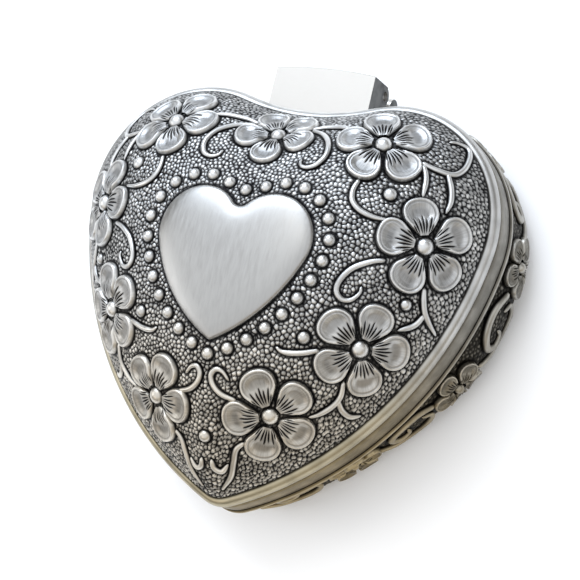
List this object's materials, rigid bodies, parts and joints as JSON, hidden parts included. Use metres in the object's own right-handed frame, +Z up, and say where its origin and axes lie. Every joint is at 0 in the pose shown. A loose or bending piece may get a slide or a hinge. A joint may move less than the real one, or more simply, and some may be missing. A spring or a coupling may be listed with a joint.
{
  "type": "heart-shaped trinket box",
  "caption": "Heart-shaped cast metal trinket box with a domed relief lid, plain heart plaque, velvet linings and a pinned hinge at the cleft.",
  "frame": {"origin": "middle of the heart, on the underside of the felt that the box stands on", "axes": "+X to the right across the heart, -Y towards its point, +Y towards the hinge at the cleft, +Z up"},
  "size_m": [0.0852, 0.086, 0.0405],
  "materials": {
    "cast_metal": "antiqued silver plate over cast zinc alloy: bright worn high relief, near-black recesses",
    "plaque_metal": "fine satin brushing along the heart's length",
    "hinge_metal": "smooth bright plate, rounded edges",
    "pin_steel": "plain drawn steel",
    "velvet": "short-pile wine-red velvet",
    "felt": "thin black felt"
  },
  "bodies": {
    "base": {"base_body": "cast_metal", "base_felt": "felt", "floor_cushion": "velvet", "wall_lining": "velvet", "base_hinge_leaf": "hinge_metal", "hinge_pin": "pin_steel"},
    "lid": {"lid_shell": "cast_metal", "lid_plaque": "plaque_metal", "lid_lining": "velvet", "lid_hinge_cover": "hinge_metal"}
  },
  "joints": [
    {"name": "lid_hinge", "type": "hinge", "parent": "base", "child": "lid", "pos_m": [0, 0.04362, 0.012], "axis": [-1, 0, 0], "range_deg": [0, 95]}
  ]
}
